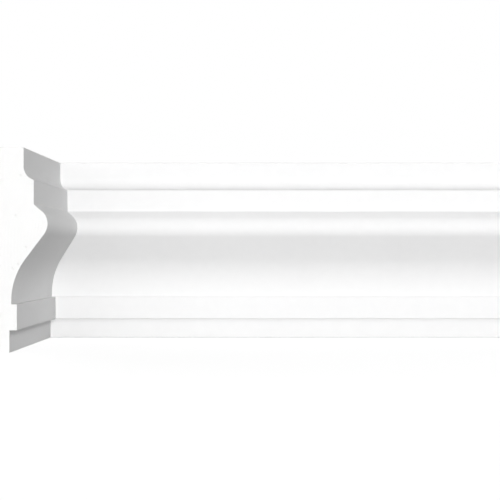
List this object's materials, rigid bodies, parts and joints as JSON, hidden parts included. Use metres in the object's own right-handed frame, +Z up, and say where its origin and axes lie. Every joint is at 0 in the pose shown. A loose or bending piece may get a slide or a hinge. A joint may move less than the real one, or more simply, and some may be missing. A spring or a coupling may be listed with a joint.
{
  "type": "wall moulding",
  "caption": "White wall moulding that turns an inside corner: a long run and a short return of the same stepped, hollowed and rounded section, mitred where they meet.",
  "frame": {"origin": "the corner line of the two walls, at the moulding's bottom edge", "axes": "+X along the long run's wall, away from the corner; +Y into that wall, so the return comes out along -Y; +Z up the walls"},
  "size_m": [2, 0.14, 0.12],
  "materials": {
    "primed_foam": "smooth matt white primer on dense moulded polyurethane foam, sawn bare at the cut ends"
  },
  "bodies": {
    "root": {"long_run": "primed_foam", "return_run": "primed_foam"}
  },
  "joints": []
}
